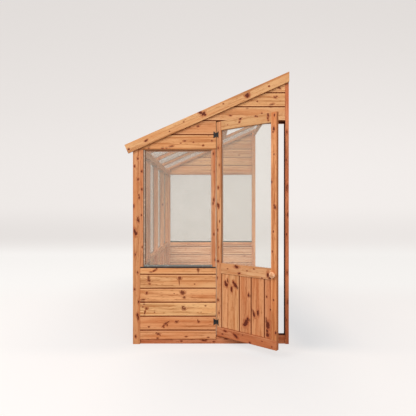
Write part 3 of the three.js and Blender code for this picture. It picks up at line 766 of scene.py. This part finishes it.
KNOB_HEAD_STARTS = 0.008  # where the head swells out of the neck
KNOB_HEAD_DEPTH = 0.0149  # half of what the head measures front to back
KNOB_RADIUS = 0.0224
KNOB_LENGTH = 0.0378
NECK_TURN = 26  # degrees round the head's oval at which the neck meets it
HEAD_STEPS = 12


def turned_knob():
    """The knob's profile, spun about its own middle: a short neck and a rounded head."""
    bm = bmesh.new()
    start = Vector((0.51575, DOOR_FACE - SKIN, 0.598))
    profile = [(0.0, 0.0), (0.010, 0.0), (0.0095, 0.004), (0.010, KNOB_HEAD_STARTS)]
    for step in range(1, HEAD_STEPS):
        turn = math.radians(NECK_TURN + step * (180 - NECK_TURN) / HEAD_STEPS)
        ahead = KNOB_HEAD_STARTS + KNOB_HEAD_DEPTH - KNOB_HEAD_DEPTH * math.cos(turn)
        profile.append((KNOB_RADIUS * math.sin(turn), ahead))
    profile.append((0.0, KNOB_LENGTH))
    verts = [bm.verts.new(start + Vector((out, -ahead, 0))) for out, ahead in profile]
    edges = [bm.edges.new(pair) for pair in zip(verts, verts[1:])]
    bmesh.ops.spin(bm, geom=verts + edges, cent=start, axis=(0, 1, 0), angle=math.tau, steps=40, use_merge=True)
    wood = timber("knob_wood", KNOB, "y", 110, DOOR, tuple(start), small=0.0)
    put("turned_door_knob", bm, wood, "door", DOOR, ("door_knob",), smooth=True)


turned_knob()

# ---- Thin trim ----

SEAL = metal("dark_weather_strip", linear(48, 40, 38), 0.0, 0.6, 0.3)
CHANNEL = metal("grey_glazing_channel", linear(128, 126, 120), 0.6, 0.5)
# Dark putty whose colour is painted shade along the panes' edges
SHADE_PUTTY = metal("putty_painted_shade", linear(100, 76, 60), 0.0, 0.6, 0.1)
# A pale strip whose colour is a painted highlight at the near pane's edge
EDGE_HIGHLIGHT = metal("pale_strip_painted_highlight", linear(196, 172, 152), 0.0, 0.5)
# Dark draught strips whose colour is painted shade in the doorway's reveals
DRAUGHT_SHADE = metal("draught_strip_painted_shade", linear(76, 34, 24), 0.0, 0.8, 0.05)
COVER_KNOTS = HINGE_STUD_KNOTS + CORNER_STUD_KNOTS + [(34, 1010, 4, 7, 0)]
COVER = timber("stud_cover_wood", linear(189, 124, 83), "z", 57, LEVEL, (0.6, -1.137, 1.0), COVER_KNOTS, small=0.0)
BEAD = timber("window_bead_wood", linear(205, 150, 112), "z", 121, LEVEL, (0.586, -1.13, 0), small=0.0)
FRONT_BEAD = timber("front_bead_wood", STUD, "z", 123, LEVEL, (-0.026, 0, 1), small=0.3)
# The hinge side's stop is pale as painted light in the gap; its faces along +X are darkened as painted shade
STOP_LIGHT_AND_SHADE = timber(
    "door_stop_painted_light", linear(246, 204, 158), "z", 120, LEVEL, (0.62, -1.1, 0), small=0.0, painted_shade_way=(1, 0, 0)
)
# The lip strips are pale as a painted highlight along the hinge side; their faces along +X are darkened as painted
# shade
LIP_HIGHLIGHT_AND_SHADE = timber(
    "door_lip_painted_highlight", linear(252, 226, 196), "z", 122, LEVEL, (0.62, -1.13, 0), small=0.0, painted_shade_way=(1, 0, 0)
)

DRIP_FOOT, DRIP_TOP = CLADDING_TOP + SKIN, 0.6045
CHANNEL_FOOT, CHANNEL_TOP = 0.6063, 0.620
PANE_FOOT, PANE_HEAD = 0.6205, 1.5158  # what is seen of the near pane
STOP_FOOT, STOP_HEAD = 0.0696, 1.7330
LIP_HEAD = 1.4600
FRONT_FOOT, FRONT_HEAD = 0.6066, 1.5104  # what is seen of the long wall's panes


def strips(name, boxes, material, soften=0.0006):
    """Straight lengths of thin section, with eased edges, as one piece of the frame."""
    bm = bmesh.new()
    for low, high in boxes:
        ease(bm, block(bm, low, high), soften, segments=2)
    put(name, bm, material, "frame")


def near_box(left, right, front, back, foot, head):
    """A length set in the near gable; front and back are millimetres behind the boards' outer face."""
    return (left, NEAR + front * MM, foot), (right, NEAR + back * MM, head)


def mirrored(box):
    """The same length in the far gable."""
    low, high = box
    return (low[0], -high[1], low[2]), (high[0], -low[1], high[2])


# The near gable: over the lower boards, and along the foot of its pane
near_drip = near_box(FRONT_IN + 0.0005, HINGE_STUD_OUT - 0.0002, 1.2, 10.7, DRIP_FOOT, DRIP_TOP)
near_channel = near_box(WINDOW_LEFT, WINDOW_RIGHT, 4.0, 12.7, CHANNEL_FOOT, CHANNEL_TOP)
strips("near_drip_strip", [near_drip], SEAL)
strips("near_glazing_channel", [near_channel], CHANNEL)

# Round its window: dark putty above and on the left, its colour painted shade; a pale strip beside it, a painted
# highlight; the studs' covers, a bead on the right
strips("near_window_shade_putty", [
    near_box(WINDOW_LEFT, WINDOW_RIGHT, 6.0, 10.7, 1.5160, 1.5190),
    near_box(0.0590, 0.0645, 10.0, 12.8, PANE_FOOT, PANE_HEAD),
    near_box(0.0486, 0.0502, 0.4, 10.5, PANE_FOOT, PANE_HEAD),
], SHADE_PUTTY)
strips("near_window_highlight_strip", [near_box(0.0503, 0.0588, 8.0, 12.8, PANE_FOOT, PANE_HEAD)], EDGE_HIGHLIGHT)
strips("near_stud_covers", [
    near_box(FRONT_IN + SKIN, 0.0484, 0.2, 10.5, SILL_TOP, HEAD_FOOT),
    near_box(WINDOW_RIGHT + SKIN, 0.6148, 0.2, 10.5, SILL_TOP, HEAD_FOOT),
], COVER, soften=0.0004)
strips("near_window_bead", [near_box(0.5790, WINDOW_RIGHT, 2.0, 12.8, PANE_FOOT, PANE_HEAD)], BEAD)

# Round the doorway: latch side, threshold, head, and the hinge side above the lip; these dark strips are painted shade
# in the doorway's reveals
strips("doorway_shade_strips", [
    near_box(NEAR_POST_IN - 0.0013, NEAR_POST_IN - 0.0001, 0.3, 54.5, 0.0690, DOOR_HEAD),
    near_box(HINGE_STUD_OUT + 0.0005, NEAR_POST_IN - 0.0015, 11.2, 54.5, 0.0681, 0.0693),
    near_box(HINGE_STUD_OUT + 0.0006, NEAR_POST_IN - 0.0015, 28.9, 29.9, 1.7335, 1.7485),
    near_box(HINGE_STUD_OUT + 0.0001, HINGE_STUD_OUT + 0.0019, 0.4, 28.5, LIP_HEAD + 0.0004, STOP_HEAD),
], DRAUGHT_SHADE, soften=0.0003)
# The hinge side's stop, pale as painted light
hinge_stop = near_box(HINGE_STUD_OUT + 0.0001, HINGE_STUD_OUT + 0.0125, 30.2, 54.8, STOP_FOOT, STOP_HEAD)
strips("hinge_side_stop", [hinge_stop], STOP_LIGHT_AND_SHADE)
# Pale lip strips, a painted highlight at the hinge gap and beside the hinge stud
strips("hinge_side_highlight_lip", [
    near_box(HINGE_STUD_OUT + 0.0001, HINGE_STUD_OUT + 0.0019, 0.4, 28.5, STOP_FOOT, LIP_HEAD),
    near_box(HINGE_STUD_OUT - 0.0020, HINGE_STUD_OUT - 0.0001, 0.3, 10.5, SILL_TOP, HEAD_FOOT),
], LIP_HIGHLIGHT_AND_SHADE, soften=0.0003)

# The far gable and the long wall have the same over their lower boards
far_drip = near_box(FRONT_IN + 0.0005, 1.142, 1.2, 10.7, DRIP_FOOT, DRIP_TOP)
far_channel = near_box(WINDOW_LEFT, 1.1425, 4.0, 12.7, CHANNEL_FOOT, CHANNEL_TOP)
front_drip = (
    (OUTSIDE + 0.0012, SKIN - LONG_WALL_END, DRIP_FOOT), (-0.0222, LONG_WALL_END - SKIN, DRIP_TOP)
)
strips("far_drip_strip", [mirrored(far_drip)], SEAL)
strips("far_glazing_channel", [mirrored(far_channel)], CHANNEL)
strips("front_drip_strip", [front_drip], SEAL)

# The long wall's panes: a bead over each stud, with dark putty along both sides of it, its colour painted shade
bay_lines = [-0.571, 0.0, 0.571]
BEAD_HALF = 0.0138
SHADE_PUTTY_FROM, SHADE_PUTTY_TO = 0.0143, 0.0192  # from the middle of the stud
pane_ends = [(line - SHADE_PUTTY_TO, line - SHADE_PUTTY_FROM) for line in bay_lines]
pane_ends += [(line + SHADE_PUTTY_FROM, line + SHADE_PUTTY_TO) for line in bay_lines]
pane_ends += [(1.0976, 1.1025), (-1.1025, -1.0976)]
front_beads = [((-0.0300, line - BEAD_HALF, FRONT_FOOT), (-0.0223, line + BEAD_HALF, FRONT_HEAD)) for line in bay_lines]
front_shade_putty_boxes = [((-0.0292, start, FRONT_FOOT), (-0.0203, end, FRONT_HEAD)) for start, end in pane_ends]
strips("front_glazing_beads", front_beads, FRONT_BEAD)
strips("front_shade_putty", front_shade_putty_boxes, SHADE_PUTTY)

# A dark seal along the foot of the far pane, on its inner side
strips("far_pane_seal", [((WINDOW_LEFT, 1.1120, 0.6064), (1.1424, 1.1247, 0.6225))], SEAL)

CAP_HALF = 0.016
CAP_FOOT, CAP_TOP = 0.0324, 0.0349  # over the rafters' underside
CAP_LOW_END = -0.1030
CAP_UNDER_VENT = 0.780  # the caps beside the vent end below it


def roof_bar_caps():
    """Flat metal caps that hold the roof panes down along the rafters."""
    bm = bmesh.new()
    cap_high_end = (HOUSE - FRONT_IN) / math.cos(PITCH) + 0.012
    for line, top_end in zip(bay_lines, (cap_high_end, CAP_UNDER_VENT, CAP_UNDER_VENT)):
        made = block(bm, (CAP_LOW_END, line - CAP_HALF, CAP_FOOT), (top_end, line + CAP_HALF, CAP_TOP))
        ease(bm, made, 0.0006)
    put("roof_bar_caps", bm, CHANNEL, "frame", SLOPE)


roof_bar_caps()

# ---- Floor, backdrop and light ----

ROOM_SHADE = linear(236, 231, 228)
SWEEP_LEFT, SWEEP_WIDTH = -18.0, 37.0
SWEEP_FRONT, SWEEP_BEND = -16.0, 4.2  # the floor is level from the one to the other
SWEEP_RADIUS = 4.0
WALL_ABOVE_BEND = 8.0


def backdrop():
    """A pale floor that sweeps up into a wall behind the greenhouse."""
    bm = bmesh.new()
    start = bm.verts.new((SWEEP_LEFT, SWEEP_FRONT, 0.0))
    line = bmesh.ops.extrude_vert_indiv(bm, verts=[start])["verts"]
    bmesh.ops.translate(bm, vec=(0, SWEEP_BEND - SWEEP_FRONT, 0), verts=line)
    swept = bmesh.ops.spin(
        bm, geom=line, cent=(SWEEP_LEFT, SWEEP_BEND, SWEEP_RADIUS), axis=(1, 0, 0), angle=math.radians(90),
        steps=24, use_merge=False,
    )
    last = [item for item in swept["geom_last"] if isinstance(item, bmesh.types.BMVert)]
    top = bmesh.ops.extrude_vert_indiv(bm, verts=last)["verts"]
    bmesh.ops.translate(bm, vec=(0, 0, WALL_ABOVE_BEND), verts=top)
    made = bmesh.ops.extrude_edge_only(bm, edges=bm.edges[:])["geom"]
    right = [item for item in made if isinstance(item, bmesh.types.BMVert)]
    bmesh.ops.translate(bm, vec=(SWEEP_WIDTH, 0, 0), verts=right)
    bmesh.ops.recalc_face_normals(bm, faces=bm.faces)
    mesh = bpy.data.meshes.new("studio_sweep")
    bm.to_mesh(mesh)
    bm.free()
    for face in mesh.polygons:
        face.use_smooth = True
    sweep = bpy.data.objects.new("studio_sweep", mesh)
    bpy.context.collection.objects.link(sweep)
    mesh.materials.append(sweep_paper())


def sweep_paper():
    """Pale paper that keeps the greenhouse's shadow, which gathers softly about its foot."""
    r = Recipe("studio_paper")
    x, y, z = r.split(r.position())
    floor = r.mix(r.fade(x, -2.0, 1.6), linear(254, 249, 246), linear(250, 245, 242))
    floor = r.mix(r.fade(y, 0.0, 1.6) * 0.5, floor, linear(255, 254, 251))
    wall = r.mix(r.fade(x, -3.0, 4.0), linear(244, 239, 236), linear(249, 244, 241))
    low_wall = r.fade(z, 1.2, 0.4) * r.fade(x, -3.0, 4.0, 0.45, 0.28)
    wall = r.mix(low_wall, wall, linear(226, 221, 218))
    wall = r.mix(r.fade(z, 2.0, 8.0), wall, linear(233, 228, 225))
    colour = r.mix(r.fade(y, 4.55, 5.9), floor, wall)

    # Shade about the foot of the greenhouse, along its open side and before the door
    out_x = r.math("MAXIMUM", abs(x - 0.577) - 0.61, 0.0)
    out_y = r.math("MAXIMUM", abs(y) - 1.142, 0.0) * r.fade(y, -1.0, -1.2, 1.0, 4.0)
    away = (out_x * out_x + out_y * out_y) ** 0.5
    about_foot = r.fade(away, 1.5, -0.25) * 0.42
    open_side = r.fade(x, 1.9, 1.3) * r.fade(x, 1.12, 1.36) * r.fade(abs(y), 1.4, 1.1) * r.fade(y, 0.6, -0.9, 0.4, 0.58)
    before_door = r.fade(abs(x - 0.75), 1.0, 0.2) * r.fade(y, -1.1, -1.4) * r.fade(y, -3.4, -1.3) * 0.45
    shade = r.math("MAXIMUM", about_foot + open_side, before_door)
    colour = r.mix(shade, colour, linear(226, 226, 227))

    # The sweep's ends fade into the room
    far_up_or_front = r.math("MAXIMUM", r.fade(z, 8.2, 11.5), r.fade(y, -8.0, -15.0))
    ends = r.math("MAXIMUM", r.fade(abs(x - 0.5), 7.0, 16.0), far_up_or_front)
    colour = r.mix(ends, colour, ROOM_SHADE)

    # Seen by the camera, in glass and in gloss it keeps its colour; the light that it throws back is greyer
    camera, glossy, through = r.node(
        "ShaderNodeLightPath", output=("Is Camera Ray", "Is Glossy Ray", "Is Transmission Ray")
    )
    seen = r.math("MAXIMUM", camera, r.math("MAXIMUM", glossy, through))
    paper = r.node("ShaderNodeBsdfDiffuse", inputs={"Color": linear(166, 163, 160)})
    lit = r.node("ShaderNodeBsdfDiffuse", inputs={"Color": colour})
    glow = r.node("ShaderNodeEmission", inputs={"Color": colour, "Strength": 1.0})
    shown = r.node("ShaderNodeMixShader", inputs={0: ends * 0.25 + 0.75, 1: lit, 2: glow})
    both = r.node("ShaderNodeMixShader", inputs={0: seen, 1: paper, 2: shown})
    r.tree.links.new(both.socket, r.out.inputs["Surface"])
    return r.material


backdrop()


def room_light():
    """A white room that lights the greenhouse, and that the camera and the glass see in the sweep's shade."""
    world = bpy.data.worlds.new("soft_room")
    bpy.context.scene.world = world
    world.use_nodes = True
    tree = world.node_tree
    tree.nodes.clear()
    ray = tree.nodes.new("ShaderNodeLightPath")
    most = tree.nodes.new("ShaderNodeMath")
    most.operation = "MAXIMUM"
    tree.links.new(ray.outputs["Is Camera Ray"], most.inputs[0])
    tree.links.new(ray.outputs["Is Transmission Ray"], most.inputs[1])
    both = tree.nodes.new("ShaderNodeMixShader")
    tree.links.new(most.outputs[0], both.inputs[0])
    for socket, colour, strength in ((1, (1.0, 1.0, 1.0, 1), 0.8), (2, ROOM_SHADE, 1.0)):
        sky = tree.nodes.new("ShaderNodeBackground")
        sky.inputs[0].default_value, sky.inputs[1].default_value = colour, strength
        tree.links.new(sky.outputs[0], both.inputs[socket])
    out = tree.nodes.new("ShaderNodeOutputWorld")
    tree.links.new(both.outputs[0], out.inputs[0])


def soft_box(name, where, aim, size, power, spread=180, hidden=False):
    """A round lamp that no camera sees; a hidden one is left out of reflections too."""
    data = bpy.data.lights.new(name, "AREA")
    data.shape, data.size, data.energy, data.spread = "DISK", size, power, math.radians(spread)
    lamp = bpy.data.objects.new(name, data)
    lamp.location = where
    lamp.rotation_euler = (Vector(aim) - Vector(where)).to_track_quat("-Z", "Y").to_euler()
    lamp.visible_camera = False
    lamp.visible_glossy = not hidden
    bpy.context.collection.objects.link(lamp)


room_light()
soft_box("key_light", (-4.0, -5.8, 4.8), (0.5, -0.6, 0.9), 3.6, 240)
soft_box("front_fill", (0.9, -7.6, 5.2), (0.55, 0.8, 0.9), 3.0, 120)
soft_box("inside_fill", (0.62, -0.95, 0.5), (0.6, 1.1, 0.25), 0.6, 4, 70, hidden=True)
bpy.context.scene.view_settings.view_transform = "Standard"
